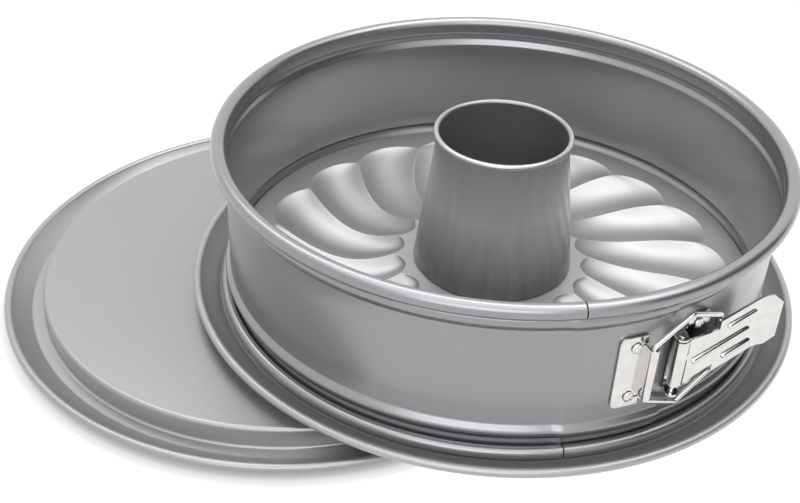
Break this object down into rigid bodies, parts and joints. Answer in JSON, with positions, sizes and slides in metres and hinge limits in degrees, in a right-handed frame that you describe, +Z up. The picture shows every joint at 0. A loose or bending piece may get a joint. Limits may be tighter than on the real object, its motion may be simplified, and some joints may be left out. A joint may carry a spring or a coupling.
{
  "type": "springform tube pan",
  "caption": "Round springform pan with a fluted tube base and drip tray, lever clasp with wire bail, and a spare flat base with drip tray under it.",
  "frame": {"origin": "on the table, under the middle of the stack's bounding box", "axes": "+Z up, +X from the spare base towards the pan, +Y away from the clasp's side"},
  "size_m": [0.3999, 0.3103, 0.0968],
  "materials": {
    "base_coating": "satin metallic non-stick coating",
    "tube_coating": "satin metallic non-stick coating",
    "band_coating": "satin metallic non-stick coating",
    "clasp_plates": "bright nickel plate",
    "clasp_lever": "bright nickel plate",
    "clasp_rivets": "bright nickel plate",
    "clasp_wire": "bright drawn wire"
  },
  "bodies": {
    "spare_base": {"flat_base": "base_coating"},
    "pan_base": {"tube_base": "base_coating", "tube": "tube_coating"},
    "band": {"side_band": "band_coating", "catch_bracket": "clasp_plates", "catch_rivet_upper": "clasp_rivets", "catch_rivet_lower": "clasp_rivets", "hinge_bracket": "clasp_plates", "hinge_rivet_upper": "clasp_rivets", "hinge_rivet_lower": "clasp_rivets", "lever_pin": "clasp_wire"},
    "lever": {"lever": "clasp_lever"},
    "bail": {"bail": "clasp_wire"}
  },
  "joints": [
    {"name": "pan_lift", "type": "slide", "parent": "spare_base", "child": "pan_base", "axis": [0, 0, 1], "range_m": [0, 0.06]},
    {"name": "ring_lift", "type": "slide", "parent": "pan_base", "child": "band", "axis": [0.0295, -0.0027, 0.9996], "range_m": [0, 0.11]},
    {"name": "lever_swing", "type": "hinge", "parent": "band", "child": "lever", "pos_m": [0.12003, -0.12279, 0.04982], "axis": [-0.0295, 0.0027, -0.9996], "range_deg": [0, 150]},
    {"name": "bail_swing", "type": "hinge", "parent": "band", "child": "bail", "pos_m": [0.10792, -0.12953, 0.05016], "axis": [-0.0295, 0.0027, -0.9996], "range_deg": [0, 75]}
  ],
  "couplings": [
    {"joint": "bail_swing", "follows": "lever_swing", "ratio": 0.5}
  ]
}
